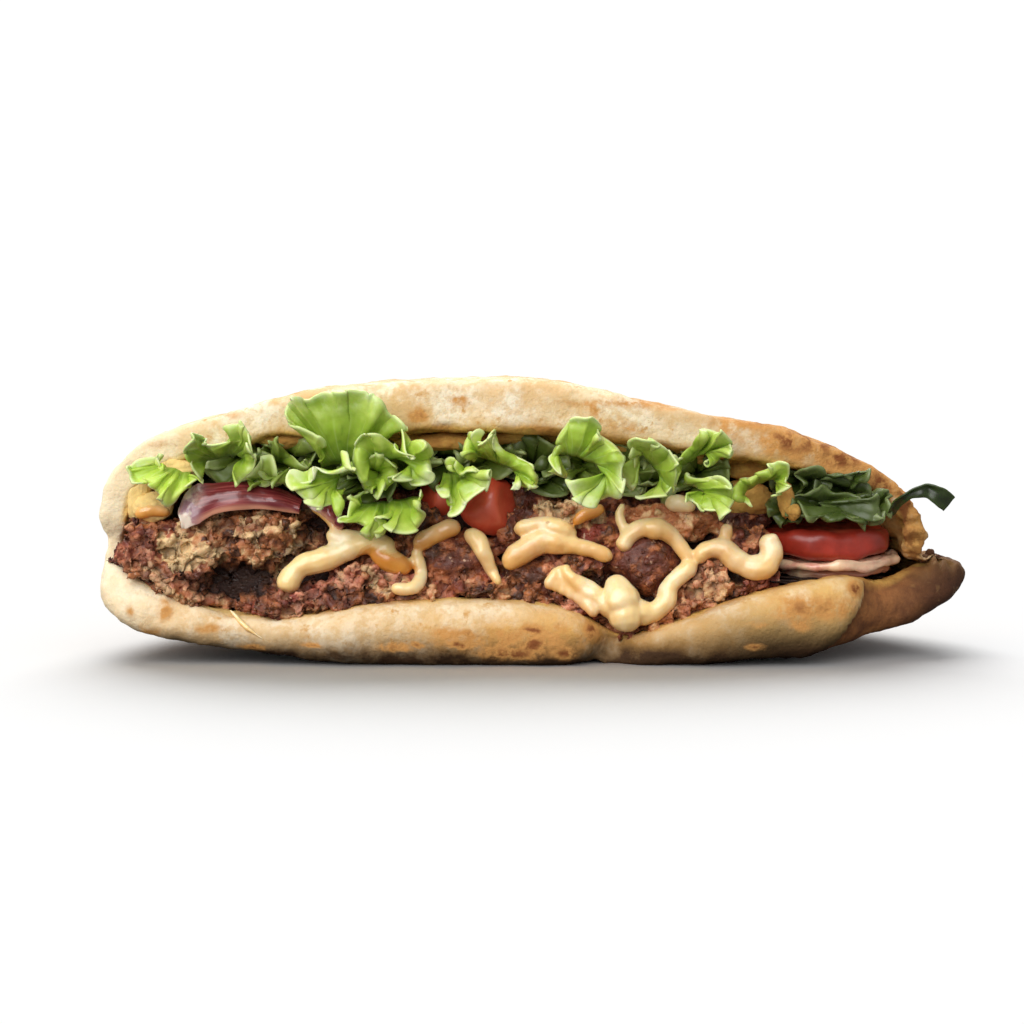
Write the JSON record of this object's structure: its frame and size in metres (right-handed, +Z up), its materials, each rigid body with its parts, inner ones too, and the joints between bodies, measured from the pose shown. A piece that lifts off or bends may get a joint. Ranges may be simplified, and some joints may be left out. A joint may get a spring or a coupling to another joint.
{
  "type": "doner kebab sandwich half",
  "caption": "Flatbread pocket, half of a round loaf, open along one long side and filled with doner meat, drizzled sauce, tomato, red onion and frilly lettuce.",
  "frame": {"origin": "on the flat of the underside, midway along the straight cut side's width and 38 mm behind the ends of the mouth", "axes": "+X along the mouth to the picture's right, -Y out of the open mouth, +Z up"},
  "size_m": [0.2553, 0.1363, 0.082],
  "materials": {
    "bread": "floury baked crust with toasted spots",
    "meat": "browned, moist, with thick sauce on it",
    "tomato": "wet",
    "onion": "moist",
    "lettuce": "satin, paler at the edges"
  },
  "bodies": {
    "root": {"bread": "bread", "doner_meat": "meat", "lettuce_bed": "lettuce", "tomato_slice": "tomato", "tomato_wedge_front": "tomato", "tomato_wedge_back": "tomato", "onion_arch": "onion", "onion_tail": "onion", "onion_slice_upper": "onion", "onion_slice_lower": "onion", "lettuce_far_left": "lettuce", "lettuce_left": "lettuce", "lettuce_left_inner": "lettuce", "lettuce_tall": "lettuce", "lettuce_hanging": "lettuce", "lettuce_middle": "lettuce", "lettuce_middle_low": "lettuce", "lettuce_middle_right": "lettuce", "lettuce_centre": "lettuce", "lettuce_right": "lettuce", "lettuce_cups": "lettuce", "lettuce_right_high": "lettuce", "lettuce_right_low": "lettuce", "lettuce_small_frill": "lettuce", "lettuce_dark_upper": "lettuce", "lettuce_dark_lower": "lettuce", "lettuce_stray": "lettuce"}
  },
  "joints": []
}
